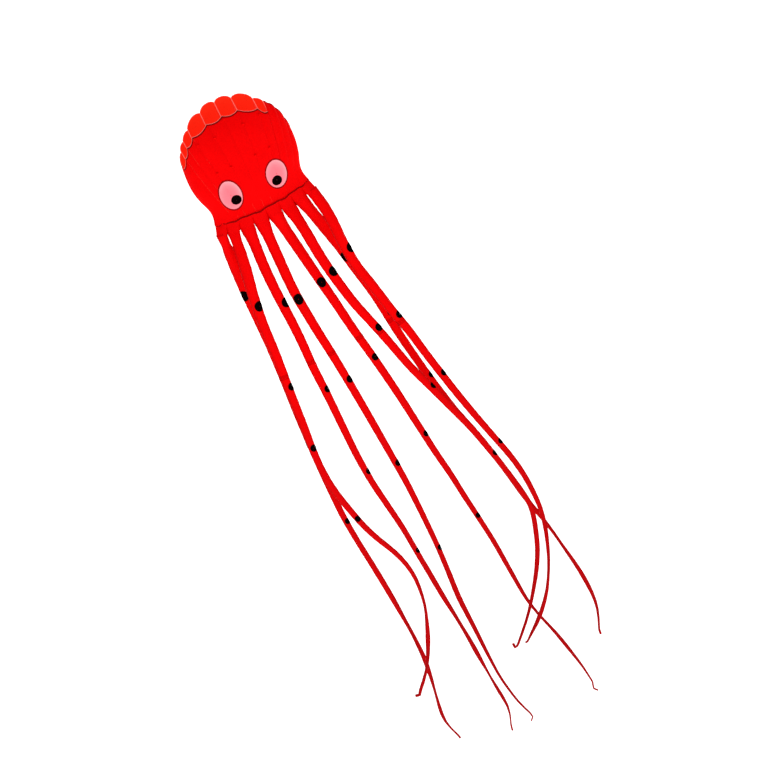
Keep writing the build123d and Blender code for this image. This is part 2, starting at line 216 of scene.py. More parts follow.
def ripstop(name, colour, shade, glow, thin=0.0, painted_glow=0.0, fade=None, rim_highlight=0.0,
            sheen=0.02, gloss=0.02):
    """Ripstop nylon: a square grid of thicker threads, fine weave, soft creases and uneven dye.

    thin is the share of light let through, the glow number the strength of a painted glow that
    stands in for light let through and falling on the cloth, and the rim share how pale a painted
    highlight makes its rim. fade is a start and an end along the cloth, and the colour that it fades
    to.
    """
    material, tree, shader = new_material(name)
    uv = tree.nodes.new("ShaderNodeUVMap")
    uv.uv_map = "cloth"
    split = tree.nodes.new("ShaderNodeSeparateXYZ")
    tree.links.new(uv.outputs["UV"], split.inputs[0])
    thread_turn = 2 * math.pi / (RIP_GRID / THREADS_PER_RIP)
    lines, threads = [], []
    for axis in ("X", "Y"):
        across = math_node(tree, "PINGPONG", split.outputs[axis], RIP_GRID / 2)
        lines.append(math_node(tree, "LESS_THAN", across, RIP_GRID * RIP_WIDTH))
        turns = math_node(tree, "MULTIPLY", split.outputs[axis], thread_turn)
        threads.append(math_node(tree, "SINE", turns))
    rip = math_node(tree, "MAXIMUM", lines[0], lines[1])
    weave = math_node(tree, "MULTIPLY", threads[0], threads[1])
    dye = noise_node(tree, uv.outputs["UV"], 3.2, 4)
    crumple = noise_node(tree, uv.outputs["UV"], 17, 6, 0.62)
    worn = math_node(tree, "GREATER_THAN", crumple, 0.66)
    tone = mix_colour(tree, math_node(tree, "MULTIPLY", dye, DYE_SHARE), colour, shade)
    tone = mix_colour(tree, math_node(tree, "MULTIPLY", worn, WORN_SHARE), tone, glow)
    tone = mix_colour(tree, math_node(tree, "MULTIPLY", rip, RIP_SHARE), tone, shade)
    # darker along sewn lines, and painted shade along the sides of the tubes
    seam_and_shade = math_node(tree, "MULTIPLY", attribute_node(tree, "seam"), SEAM_AND_SHADE_SHARE)
    tone = mix_colour(tree, seam_and_shade, tone, tuple(SEAM_AND_SHADE_DARKER * c for c in shade))
    # a painted highlight makes the rim paler
    if rim_highlight:
        painted_highlight = math_node(tree, "MULTIPLY", attribute_node(tree, "rim_highlight"), rim_highlight)
        tone = mix_colour(tree, painted_highlight, tone, RIM_HIGHLIGHT_COLOUR)
    if fade:
        start, end, faded = fade
        along = tree.nodes.new("ShaderNodeMapRange")
        set_inputs(along, {"From Min": start, "From Max": end, "To Max": FADE_SHARE})
        tree.links.new(split.outputs["Y"], along.inputs["Value"])
        tone = mix_colour(tree, along.outputs["Result"], tone, faded)
        tree.links.new(tone, shader.inputs["Emission Color"])
    tree.links.new(tone, shader.inputs["Base Color"])
    rough = math_node(tree, "MULTIPLY_ADD", crumple, 0.16)
    rough.node.inputs[2].default_value = 0.5
    tree.links.new(rough, shader.inputs["Roughness"])
    height = math_node(tree, "MULTIPLY_ADD", rip, 0.5)
    tree.links.new(math_node(tree, "MULTIPLY", weave, 0.18), height.node.inputs[2])
    threads_normal = bump_node(tree, height, 0.25, 0.0004)
    normal = bump_node(tree, crumple, 0.30, 0.006, under=threads_normal)
    tree.links.new(normal, shader.inputs["Normal"])
    set_inputs(shader, {
        "Sheen Weight": sheen,
        "Sheen Roughness": 0.45,
        "Sheen Tint": (*glow, 1),
        "Specular IOR Level": gloss,
        "Emission Strength": painted_glow,
    })
    if not fade:
        set_inputs(shader, {"Emission Color": (*colour, 1)})
    if thin:
        through = tree.nodes.new("ShaderNodeBsdfTranslucent")
        tree.links.new(tone, through.inputs["Color"])
        tree.links.new(normal, through.inputs["Normal"])
        blend = tree.nodes.new("ShaderNodeMixShader")
        blend.inputs[0].default_value = thin
        tree.links.new(shader.outputs["BSDF"], blend.inputs[1])
        tree.links.new(through.outputs["BSDF"], blend.inputs[2])
        output = [n for n in tree.nodes if n.type == "OUTPUT_MATERIAL"][0]
        tree.links.new(blend.outputs[0], output.inputs["Surface"])
    return material


def webbing(name, colour, shade, pitch=0.0016):
    """Woven tape with a diagonal rib."""
    material, tree, shader = new_material(name)
    where = tree.nodes.new("ShaderNodeTexCoord")
    wave = tree.nodes.new("ShaderNodeTexWave")
    wave.wave_type = "BANDS"
    wave.bands_direction = "DIAGONAL"
    set_inputs(wave, {"Scale": 1 / pitch / 6, "Distortion": 0.6})
    tree.links.new(where.outputs["Object"], wave.inputs["Vector"])
    fuzz = noise_node(tree, where.outputs["Object"], 90, 4)
    share = math_node(tree, "MULTIPLY", wave.outputs["Fac"], fuzz)
    tone = mix_colour(tree, share, colour, shade)
    tree.links.new(tone, shader.inputs["Base Color"])
    normal = bump_node(tree, wave.outputs["Fac"], 0.4, 0.0006)
    tree.links.new(normal, shader.inputs["Normal"])
    set_inputs(shader, {
        "Roughness": 0.7,
        "Specular IOR Level": 0.02,
        "Sheen Weight": 0.02,
        "Sheen Tint": (*colour, 1),
    })
    return material


RED = (0.93, 0.0002, 0.0006)
RED_SHADE = (0.68, 0.0005, 0.002)
RED_GLOW = (1.0, 0.004, 0.004)
# The inside of the skins and the ribs get a lighter orange red and a glow: painted light standing in
# for the light let through the cloth.
INSIDE_BACKLIT = (0.92, 0.046, 0.014)
INSIDE_BACKLIT_SHADE = (0.82, 0.018, 0.008)

# The number after each cloth's share of light let through is a painted glow: it lifts the shade on
# the outside and stands in for light let through on the inside, ribs and hems.
red = ripstop("red_ripstop", RED, RED_SHADE, RED_GLOW, 0.25, 0.05)
backlit_inside_red = ripstop("red_ripstop_inside_painted_backlight", INSIDE_BACKLIT, INSIDE_BACKLIT_SHADE, (1.0, 0.12, 0.05), 0.3, 0.42)
backlit_rib_cloth = ripstop("rib_ripstop", (0.9, 0.08, 0.05), (0.8, 0.04, 0.03), (1.0, 0.35, 0.3), 0.3, 0.25)
tape_cloth = webbing("edge_tape", (0.28, 0.001, 0.001), (0.13, 0.0005, 0.0005))
# The eye's paler rim is a painted highlight, and its small glow is painted light.
eye_cloth = ripstop("eye_cloth", (0.92, 0.205, 0.25), (0.88, 0.15, 0.19), (1.0, 0.46, 0.50),
                    painted_glow=0.04, rim_highlight=0.5)
outline_cloth = ripstop("eye_outline_cloth", (0.32, 0.001, 0.002), (0.20, 0.0005, 0.001),
                        (0.4, 0.003, 0.004))
black_cloth = ripstop("black_cloth", (0.0022, 0.0009, 0.0009), (0.004, 0.0006, 0.0008),
                      (0.006, 0.001, 0.0015), sheen=0.0, gloss=0.0)
loop_cloth = webbing("loop_webbing", (0.93, 0.001, 0.001), (0.80, 0.001, 0.001))

# --- mesh helpers


def unit(vectors):
    """Each vector at length 1."""
    return vectors / np.maximum(np.linalg.norm(vectors, axis=-1, keepdims=True), 1e-12)


def steps(points, axis):
    """Distances between neighbouring points along an axis of a grid."""
    return np.linalg.norm(np.diff(points, axis=axis), axis=-1)


def full_turn(count):
    return np.linspace(0, 2 * math.pi, count, endpoint=False)


def sew_to_head(piece, node=None):
    """Fix a piece to the head and in place of any CAD node."""
    if node:
        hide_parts(node)
    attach(piece, "head")


class Cloth:
    """Collects grids of points into one mesh, with a map of the cloth's own metres."""

    def __init__(self):
        self.points, self.faces, self.uvs, self.seams = [], [], [], []
        self.count = 0

    def grid(self, points, closed=False, flip=False, seam=0.0):
        """Add a grid of points; seam says how strongly each of them lies on a sewn line, and on the
        tubes it also carries painted shade along their sides.
        """
        points = np.asarray(points, float)
        rows, columns = points.shape[:2]
        self.seams.append(np.broadcast_to(seam, (rows, columns)))
        uv = cloth_map(points, closed)
        index = self.count + np.arange(rows * columns).reshape(rows, columns)
        last = columns if closed else columns - 1
        for r in range(rows - 1):
            for c in range(last):
                n = (c + 1) % columns
                corners = [(r, c), (r, n), (r + 1, n), (r + 1, c)]
                places = [uv[r, c], uv[r, c + 1], uv[r + 1, c + 1], uv[r + 1, c]]
                if flip:
                    corners.reverse()
                    places.reverse()
                self.faces.append([int(index[p]) for p in corners])
                self.uvs.extend(places)
        self.points.append(points.reshape(-1, 3))
        self.count += rows * columns
        return self

    def make(self, name, materials, thickness=CLOTH, inner_slot=0, weld=True):
        """The piece; inner_slot counts from the material outside to the one inside."""
        mesh = bpy.data.meshes.new(name)
        mesh.from_pydata(np.concatenate(self.points).tolist(), [], self.faces)
        layer = mesh.uv_layers.new(name="cloth")
        layer.data.foreach_set("uv", np.asarray(self.uvs, np.float32).ravel())
        seam = mesh.attributes.new("seam", "FLOAT", "POINT")
        seam.data.foreach_set("value", np.concatenate([s.ravel() for s in self.seams]))
        piece = place(name, mesh)
        for material in materials:
            mesh.materials.append(material)
        mesh.shade_smooth()
        if weld:
            work = bmesh.new()
            work.from_mesh(mesh)
            bmesh.ops.remove_doubles(work, verts=work.verts, dist=1e-5)
            work.to_mesh(mesh)
            work.free()
        if thickness:
            solid = piece.modifiers.new("cloth", "SOLIDIFY")
            solid.thickness = thickness
            solid.offset = -1
            solid.material_offset = inner_slot
        return piece


def cloth_map(points, closed):
    """Distances over the cloth: across a row, and along a column."""
    ring = np.concatenate([points, points[:, :1]], 1) if closed else points
    across, along = steps(ring, 1), steps(ring, 0)
    u = np.concatenate([np.zeros((len(ring), 1)), across.cumsum(1)], 1)
    v = np.concatenate([np.zeros((1, ring.shape[1])), along.cumsum(0)], 0)
    u = u - u.mean(1, keepdims=True)
    return np.stack([u, v], 2)


def grid_normals(points):
    """Unit normals of a grid of points."""
    return unit(np.cross(np.gradient(points, axis=0), np.gradient(points, axis=1)))


def declare(grids):
    """Work out the width, length and area of the flat panel that a cloth piece's grids were sewn
    from; nothing is done with them.
    """
    grids = grids if isinstance(grids, list) else [grids]
    width = length = area = 0.0
    for points in grids:
        across, along = steps(points, 1).sum(1), steps(points, 0).sum(0)
        width += across.max()
        length = max(length, along.max())
        area += across.mean() * along.mean()


def tree_of(*names):
    """One ray-casting tree of several CAD nodes."""
    points, faces = [], []
    for name in names:
        mesh = frame["nodes"][name].data
        start = len(points)
        points.extend(v.co.copy() for v in mesh.vertices)
        faces.extend([start + i for i in p.vertices] for p in mesh.polygons)
    return BVHTree.FromPolygons(points, faces)


# --- head shape from the frame

back_tree = tree_of("back_skin", "back_lip_hem", "skirt_back")
face_tree = tree_of("face_skin", "face_lip_hem")
LEVELS = np.concatenate([
    np.linspace(-0.19, 1.20, 90),
    np.linspace(1.205, HEAD_HEIGHT - 0.002, 24),
])


def measure_head():
    """Half width and half depth of the CAD head at each level."""
    widths, depths = [], []
    for level in LEVELS:
        z = SEAM_Z + level
        side = back_tree.ray_cast(Vector((-3, HEAD_Y + 0.0006, z)), Vector((1, 0, 0)))[0]
        rear = back_tree.ray_cast(Vector((0.0, 3, z)), Vector((0, -1, 0)))[0]
        widths.append(-side.x if side else np.nan)
        depths.append(rear.y - HEAD_Y if rear else np.nan)
    widths, depths = np.array(widths), np.array(depths)
    for values in (widths, depths):
        good = ~np.isnan(values)
        values[~good] = np.interp(LEVELS[~good], LEVELS[good], values[good])
    return widths, depths


WIDTHS, DEPTHS = measure_head()


def read(table, place):
    """Value at a place in a table of (place, value)."""
    return np.interp(place, *zip(*table))


def half_width(level):
    return np.interp(level, LEVELS, WIDTHS)


def half_depth(level):
    return np.interp(level, LEVELS, DEPTHS)


RIBS = sorted(n for n in frame["nodes"] if n.startswith("rib_"))
REAR_CELLS = 3  # cells at the right end whose mouths open to the rear
LEFT_END_RISE = 0.06  # the first cell's edge ends this far above the low end of the lip
RIGHT_END = 0.62  # level at which the last cell's edge ends


def rib_lines():
    """Foot and head of every cell edge in the front view, from the left side to the right."""
    lines = []
    for name in RIBS:
        low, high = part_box(name)
        left = (low.x + high.x) < 0
        foot, tip = (high.x, low.x) if left else (low.x, high.x)
        lines.append((foot, low.z - SEAM_Z, tip, high.z - SEAM_Z))
    left_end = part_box("face_lip_hem")[0].z - SEAM_Z + LEFT_END_RISE
    lines.insert(0, (-half_width(0), 0.0, -half_width(left_end), left_end))
    lines.append((half_width(0), 0.0, half_width(RIGHT_END), RIGHT_END))
    return np.array(lines)


LINES = rib_lines()
CELLS = len(LINES) - 1
FIRST_REAR_CELL = CELLS - REAR_CELLS


class Column:
    """A line up the head from the seam to the leading edge, part of the way across a cell."""

    def __init__(self, cell, share):
        line = LINES[cell] * (1 - share) + LINES[cell + 1] * share
        foot_x, foot_z, tip_x, tip_z = line
        slope = (tip_x - foot_x) / (tip_z - foot_z)
        self.foot_x = foot_x - slope * foot_z
        self.slope = slope
        self.side = abs(self.foot_x / half_width(0)) ** 3
        self.sign = -1 if self.foot_x + slope < 0 else 1
        self.edge = self.find_edge(tip_z)

    def find_edge(self, tip_z):
        """Height at which the straight line crosses the head's outline."""
        levels = np.linspace(0.3, HEAD_HEIGHT - 0.001, 900)
        out = np.abs(self.foot_x + self.slope * levels) >= half_width(levels)
        crossing = levels[np.argmax(out)] if out.any() else levels[-1]
        return (1 - self.side ** 3) * crossing + self.side ** 3 * tip_z

    def x_at(self, level, end):
        """Place across the front view at a level, for a line that stops at the level end."""
        straight = self.foot_x + self.slope * level
        width = half_width(level)
        from_share = self.foot_x / half_width(0)
        to_share = np.clip((self.foot_x + self.slope * end) / half_width(end), -1, 1)
        if abs(end - self.edge) < 1e-6:
            to_share = float(self.sign)
        along = np.clip(level / end, 0, 1)
        hugging = width * (from_share + (to_share - from_share) * along)
        mixed = (1 - self.side) * straight + self.side * hugging
        return np.clip(mixed, -width, width)


def surface(x, level, front):
    """Depth of the smooth head at a place in the front view."""
    share = np.clip(x / np.maximum(half_width(level), 1e-6), -1, 1)
    depth = half_depth(level) * np.sqrt(1 - share * share)
    return HEAD_Y - depth if front else HEAD_Y + depth


def last_hit(column, tree, direction):
    """Highest level of a column where the skin is still there, seen from direction."""
    levels = np.linspace(0.35, column.edge, 420)
    best = levels[0]
    for level in levels:
        x = column.foot_x + column.slope * level
        x = float(np.clip(x, -half_width(level) + 0.002, half_width(level) - 0.002))
        start = Vector((x, HEAD_Y - 2 * direction, SEAM_Z + level))
        hit = tree.ray_cast(start, Vector((0, direction, 0)), 2.0)[0]
        if hit is not None:
            best = level
    return float(best)


ACROSS = 14  # squares of a cell's grid
ALONG = 84
BILLOW = 0.070  # how far a cell bulges, as a share of its width
CROWN_BILLOW = 0.13  # and how much further at the leading edge
REAR_CROWN_BILLOW = 0.06  # the same where the open mouth has ended
GORE_SEAM = 0.05  # how strongly the sewn line between two cells shows
GORE_SEAM_WIDTH = 0.10
LIP_END_FOLD = 0.014  # a soft fold runs down the face from where the lip ends
LEFT_SWELL = 0.010  # the outermost cell on the left stands out this much
LIP_SCALLOP = 0.026  # how far the lip is cut back in the middle of a cell
LIP_RAISE = (0.0, 0.030, 0.030, 0.010)  # the wind lifts the lip of the first cells
CROWN_INSET = 0.022  # the rib ends are drawn in between the bulges at the leading edge
NEAR_EDGE = 0.03  # where a cell's stopping levels are measured, as a share of its width
HEAD_CORE = 0.6  # the skins' outward side is away from this level of the head's middle


def seam_level(x, drop=0.0, sag=SEAM_SAG):
    return -drop - sag * (1 - (x / SAG_HALF_SPAN) ** 2)


def cell_ends(cell, front):
    """Levels at both edges of a cell where the skin on that side stops, if it stops."""
    if front != (cell < FIRST_REAR_CELL):
        return [None, None]
    tree, direction = (face_tree, 1) if front else (back_tree, -1)
    return [last_hit(Column(cell, share), tree, direction) for share in (NEAR_EDGE, 1 - NEAR_EDGE)]


def shared_ends(front):
    """The stopping levels, made equal where neighbouring cells meet."""
    ends = [cell_ends(cell, front) for cell in range(CELLS)]
    if front:
        for end, raised in zip(ends, LIP_RAISE):
            end[0], end[1] = end[0] + raised, end[1] + raised
    for left, right in zip(ends, ends[1:]):
        if left[1] is not None and right[0] is not None:
            left[1] = right[0] = (left[1] + right[0]) / 2
    return ends


def ruffle(x, level, seed):
    """Small soft wrinkles: gathers at the neck and faint creases above."""
    neck = np.exp(-((level + 0.02) / 0.10) ** 2)
    gathers = np.sin(x * PUCKER_RATE + 1.7 * np.sin(9 * x + seed)) * 0.0030 * neck
    creases = np.sin(31 * x + 9 * level + seed) * np.sin(13 * level - 17 * x + 2 * seed)
    return gathers + creases * 0.0022 * np.clip(level * 3, 0, 1)


def meet_lip_end(x, levels, end):
    """Move the first closed cell's edge onto the last open cell's, up to where the lip ends."""
    beside = Column(FIRST_REAR_CELL - 1, 1).x_at(np.minimum(levels, end), end)
    gap = np.interp(end, levels, beside - x)
    above = np.clip((levels - end) / (levels[-1] - end), 0, 1)
    return np.where(levels <= end, beside, x + gap * (1 - above))


def skin_normals(grid):
    """Unit normals of a grid of the head's skin, pointing out of the head."""
    normals = grid_normals(grid)
    outward = grid - np.array([0, HEAD_Y, SEAM_Z + HEAD_CORE])
    return normals * np.sign((normals * outward).sum(2).mean())


def cell_grid(cell, front, ends):
    """Points of one cell's skin on one side of the head, from the seam to its stopping line."""
    open_here = ends[cell][0] is not None
    share = np.linspace(0, 1, ACROSS + 1)[None, :]
    arch = 4 * share * (1 - share)
    step = np.linspace(0, 1, ALONG + 1)
    eased = 0.55 * step + 0.45 * np.sin(step * math.pi / 2)  # closer together at the crown
    columns = []
    for across in share[0]:
        column = Column(cell, across)
        end = column.edge
        if open_here:
            left, right = ends[cell]
            end = left * (1 - across) + right * across
            end -= LIP_SCALLOP * 4 * across * (1 - across) * front
        start = seam_level(column.foot_x)
        levels = start + (end - start) * (step if open_here else eased)
        x = column.x_at(levels, end)
        if front and cell == FIRST_REAR_CELL and across == 0:
            x = meet_lip_end(x, levels, ends[cell - 1][1])
        columns.append(np.stack([x, surface(x, levels, front), SEAM_Z + levels], 1))
    base = np.stack(columns, 1)
    if cell == 0:
        base[:, :, 0] -= LEFT_SWELL * np.sin(math.pi * step)[:, None] * (1 - share)
    normal = skin_normals(base)
    levels = base[:, :, 2] - SEAM_Z
    width = np.linalg.norm(base[:, -1] - base[:, 0], axis=1)[:, None]
    rise = np.clip(levels / 0.35, 0, 1) ** 0.8
    crown = np.clip(levels / HEAD_HEIGHT, 0, 1) ** 3 * (not front)
    crown_billow = CROWN_BILLOW if cell < FIRST_REAR_CELL else REAR_CROWN_BILLOW
    puff = arch ** 0.75 * width * (BILLOW + crown_billow * crown) * (0.35 + 0.65 * rise)
    wrinkles = ruffle(base[:, :, 0], levels, 0.7 + 2 * front) * arch ** 0.3
    shift = puff - CROWN_INSET * crown + wrinkles
    if front and cell == FIRST_REAR_CELL:
        shift = shift - LIP_END_FOLD * np.exp(-(((share - 0.35) / 0.22) ** 2)) * rise
    return base + normal * shift[:, :, None]


def make_skin(name, front, ends):
    """The whole skin on one side of the head; its inside is painted lighter and glowing, standing in
    for light let through the cloth.
    """
    cloth = Cloth()
    grids = []
    from_edge = 1 - np.abs(np.linspace(-1, 1, ACROSS + 1))
    edge_lines = GORE_SEAM * np.exp(-((from_edge / GORE_SEAM_WIDTH) ** 2))
    for cell in range(CELLS):
        points = cell_grid(cell, front, ends)
        grids.append(points)
        cloth.grid(points, flip=not front, seam=edge_lines[None, :])
    piece = cloth.make(name, [red, backlit_inside_red], inner_slot=1)
    return piece, grids


face_ends = shared_ends(True)
back_ends = shared_ends(False)
face, face_grids = make_skin("face_panel", True, face_ends)
back, back_grids = make_skin("back_panel", False, back_ends)
sew_to_head(face, "face_skin")
sew_to_head(back, "back_skin")

# --- hems on the lips, with a painted highlight on their edges and painted shadow below


def strip_along(path, normals, across, width, thickness, name, material):
    """A folded tape along a path: a flat closed tube, its width along across."""
    half, deep = width / 2, thickness / 2
    shape = [(-half, -deep), (half * 0.9, -deep), (half, 0),
             (half * 0.9, deep), (-half, deep), (-half * 1.05, 0)]
    ring = [path + across * a + normals * d for a, d in shape]
    return Cloth().grid(np.stack(ring, 1), closed=True).make(name, [material], thickness=0)


def lip_path(grids, cells):
    """Points, outward directions and along-skin directions at the free edge of some cells."""
    points, normals, inward = [], [], []
    for cell in cells:
        grid = grids[cell]
        normal = skin_normals(grid)
        step = unit(grid[-3] - grid[-1])
        first = 0 if cell == cells[0] else 1
        points.append(grid[-1][first:])
        normals.append(normal[-2][first:])
        inward.append(step[first:])
    return np.concatenate(points), np.concatenate(normals), np.concatenate(inward)


HEM = 0.016  # width of the dark tape folded over a lip, partly the hem and partly painted shadow under its pale edge
HIGHLIGHT_BINDING = 0.008  # and of the pale strip on its very edge, a painted highlight
SIDE_TAPE = 0.014  # and of the tape down each side of the head
HEM_LIFT = 0.002
front_cells = list(range(FIRST_REAR_CELL))
rear_cells = list(range(FIRST_REAR_CELL, CELLS))
hems = {"face": [], "back": []}
# Pale strips on the edges of the lips and ribs: a painted highlight, with a painted glow.
highlight_hem = ripstop("rib_hem_cloth", (1.0, 0.24, 0.20), (1.0, 0.16, 0.13), (1.0, 0.4, 0.36), 0.2, 0.2)

for name, grids, cells, node in (
    ("face_hem", face_grids, front_cells, "face_lip_hem"),
    ("back_hem", back_grids, front_cells, "back_lip_hem"),
    ("rear_face_hem", face_grids, rear_cells, None),
    ("rear_back_hem", back_grids, rear_cells, None),
):
    path, normals, inward = lip_path(grids, cells)
    # On each lip a pale strip on the very edge is a painted highlight, and the dark tape below it is
    # partly the hem and partly painted shadow under the lip.
    outer = path - inward * HIGHLIGHT_BINDING / 2
    highlight_binding = strip_along(outer, normals, inward, HIGHLIGHT_BINDING, 0.005, f"{name}_binding", highlight_hem)
    sew_to_head(highlight_binding)
    raised = path + inward * HEM * 0.4 + normals * HEM_LIFT
    hem = strip_along(raised, normals, inward, HEM, 0.004, name, tape_cloth)
    sew_to_head(hem, node)
    hems["back" if grids is back_grids else "face"].extend([highlight_binding, hem])

for name, edge, outward in (
    ("side_tape_left", face_grids[0][:, 0], -1.0),
    ("side_tape_right", face_grids[-1][:, -1], 1.0),
):
    normals = np.tile([outward, 0.0, 0.0], (len(edge), 1))
    across = np.tile([0.0, 1.0, 0.0], (len(edge), 1))
    side_tape = strip_along(edge, normals, across, SIDE_TAPE, 0.003, name, red)
    sew_to_head(side_tape)
    hems["face"].append(side_tape)

# --- ribs

RIB_COLUMNS = 26
RIB_HOLLOW = 0.075  # how far the wind hollows a rib's free edge
RIB_SWAY = 0.006
RIB_HIGHLIGHT_HEM = 0.013


def make_rib(number):
    """A thin cloth wall between the skins, hollowed by the wind, with a pale strip of painted
    highlight along its free edge.
    """
    front = face_grids[number - 1][:, -1][:, None]
    rear = back_grids[number - 1][:, -1][:, None]
    share = np.linspace(0, 1, RIB_COLUMNS)[None, :, None]
    points = front * (1 - share) + rear * share
    along = np.linspace(0, 1, len(front))[:, None]
    bow = np.sin(math.pi * share[:, :, 0])
    points[:, :, 2] -= bow * along ** 3 * RIB_HOLLOW
    points[:, :, 0] += bow * np.sin(7 * along + number) * RIB_SWAY
    rib = Cloth().grid(points).make(f"rib_panel_{number:02d}", [backlit_rib_cloth])
    edge = points[-1]
    inward = unit(points[-4] - edge)
    sideways = unit(np.cross(inward, np.gradient(edge, axis=0)))
    # The pale strip along the free edge is a painted highlight.
    hem = strip_along(edge, sideways, inward, RIB_HIGHLIGHT_HEM, 0.007, f"rib_hem_{number:02d}", highlight_hem)
    sew_to_head(rib, f"rib_{number:02d}")
    sew_to_head(hem)
    declare(points)


for number in range(1, len(RIBS) + 1):
    make_rib(number)
declare(face_grids)
declare(back_grids)

# --- skirt

JOINTS = {j["name"]: j for j in frame["joints"]}
NUMBERS = sorted({n.split("_")[1] for n in JOINTS})
ROOTS = {n: Vector(JOINTS[f"tentacle_{n}_root"]["pos_m"]) for n in NUMBERS}
ROOT_X = np.array([ROOTS[n].x for n in NUMBERS])
SKIRT_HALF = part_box("skirt_face")[1].x
SLOTS = np.concatenate([[-SKIRT_HALF], (ROOT_X[1:] + ROOT_X[:-1]) / 2, [SKIRT_HALF]])
TUBE_DEPTH_AT_SKIRT = 0.056
SLOT_ROUNDING = 0.018  # the skirt's edge rises this much towards each slot
SKIRT_ROWS = 22
LOBE_COLUMNS = 18


def make_skirt(front):
    """One side of the skirt: flat at the seam, swelling into eight tubes at its edge."""
    cloth = Cloth()
    grids = []
    sign = -1 if front else 1
    for lobe in range(len(NUMBERS)):
        turn = np.linspace(math.pi, 0, LOBE_COLUMNS + 1)
        left, right = SLOTS[lobe], SLOTS[lobe + 1]
        middle, half = (left + right) / 2, (right - left) / 2
        rows = []
        for step in np.linspace(0, 1, SKIRT_ROWS + 1):
            x_low = middle + half * np.cos(turn)
            x_top = x_low / SKIRT_HALF * half_width(0)
            x = x_top * (1 - step) + x_low * step
            top = seam_level(x)
            low = seam_level(x, SKIRT_DROP, SKIRT_SAG) + SLOT_ROUNDING * (1 - np.sin(turn)) ** 2
            level = top + (low - top) * step
            share = np.clip(x_top / half_width(0), -1, 1)
            flat = half_depth(0) * np.sqrt(1 - share * share)
            tube = TUBE_DEPTH_AT_SKIRT * np.sin(turn)
            swell = step ** 0.8
            depth = flat * (1 - swell) + tube * swell
            gather = np.sin(x * PUCKER_RATE) * 0.004 * (1 - step) ** 2
            rows.append(np.stack([x, HEAD_Y + sign * (depth + gather), SEAM_Z + level], 1))
        grids.append(np.array(rows))
        cloth.grid(grids[-1], flip=not front)
    skirt = cloth.make("skirt_front" if front else "skirt_rear", [red])
    sew_to_head(skirt, "skirt_face" if front else "skirt_back")
    declare(grids)


make_skirt(True)
make_skirt(False)

# --- neck seam tape

TAPE_POINTS = 480
TAPE_WIDTH = 0.013


def make_seam_tape():
    """A gathered tape round the neck, wavering a little about the seam."""
    turn = full_turn(TAPE_POINTS)
    x = half_width(0) * 1.002 * np.sin(turn)
    waver = 0.006 * np.sin(11 * turn) + 0.004 * np.sin(23 * turn + 1)
    level = seam_level(x) + waver
    pucker = 0.0035 * np.sin(NECK_PUCKERS * 2 * turn)
    y = HEAD_Y - (half_depth(0) + 0.004 + pucker) * np.cos(turn)
    path = np.stack([x, y, SEAM_Z + level], 1)
    normal = [np.sin(turn) * half_depth(0), -np.cos(turn) * half_width(0), np.zeros(TAPE_POINTS)]
    normal = unit(np.stack(normal, 1))
    up = np.tile([0.0, 0.0, 1.0], (TAPE_POINTS, 1))
    shape = [(-1, -0.0015), (0, -0.0008), (1, -0.0015), (1, 0.0020), (0, 0.0034), (-1, 0.0020)]
    ring = [path + up * a * TAPE_WIDTH / 2 + normal * d for a, d in shape]
    points = np.stack(ring + ring[:1], 0)
    tape = Cloth().grid(points, closed=True).make("seam_tape", [tape_cloth], thickness=0)
    sew_to_head(tape, "neck_seam_tape")


make_seam_tape()

# --- eyes

bpy.context.view_layer.update()
skin_tree = BVHTree.FromObject(face, bpy.context.evaluated_depsgraph_get())


def on_skin(x, level, lift):
    """A point just above the face's skin."""
    hit = None
    while hit is None:
        start = Vector((x, HEAD_Y - 2, SEAM_Z + level))
        hit, normal, _, _ = skin_tree.ray_cast(start, Vector((0, 1, 0)))
        x += 0.0002  # past the thin gap that a ray can find between two faces
    if normal.y > 0:
        normal = -normal
    return np.array(hit + normal * lift)


def oval(centre, half, lean, inner, outer, lift, rings=10, around=72):
    """Grid over an oval band of the face, from inner to outer share of its size."""
    rows = []
    for share in np.linspace(inner, outer, rings):
        row = []
        for turn in full_turn(around):
            a, b = half[0] * share * math.cos(turn), half[1] * share * math.sin(turn)
            x = centre[0] + a * math.cos(lean) - b * math.sin(lean)
            z = centre[1] + a * math.sin(lean) + b * math.cos(lean)
            row.append(on_skin(x, z, lift))
        rows.append(row)
    return np.array(rows)


def declare_ring(piece, *rings, rests_on=("face_panel",)):
    """Work out the width, length and area of round patches, cut from squares of cloth, from their
    outer rings; nothing is done with them.
    """
    grids = [np.concatenate([points, points[:, :1]], 1) for points in rings]
    width = sum(float(np.ptp(points[-1][:, 0])) for points in rings)
    length = max(float(np.ptp(points[-1][:, 2])) for points in rings)
    area = 0.0
    for points in grids:
        ring, wide = steps(points, 1).sum(1), steps(points, 0).mean(1)
        area += float(((ring[1:] + ring[:-1]) / 2 * wide).sum())
    if area < 0.4 * width * length:
        width = float(steps(grids[0].mean(0), 0).sum())
        length = max(area / width, 0.01)
    width, length = round(width, 4), round(length, 4)


PATCH = 0.0008  # thickness of what is sewn on


def make_patch(name, material, node, points):
    """A cloth patch sewn on the face, with a painted highlight that makes its rim paler, most on the
    upper side.
    """
    patch = Cloth().grid(points, closed=True, flip=True).make(name, [material], thickness=PATCH)
    rows, around = points.shape[:2]
    # painted highlight, strongest at the rim and on its upper side
    rim_highlight = patch.data.attributes.new("rim_highlight", "FLOAT", "POINT")
    upper = 0.5 + 0.5 * np.sin(full_turn(around) + 0.9)
    share = np.linspace(0, 1, rows)[:, None] ** 3
    rim_highlight.data.foreach_set("value", (share * (0.35 + 0.65 * upper)).ravel())
    sew_to_head(patch, node)
    declare_ring(patch, points)


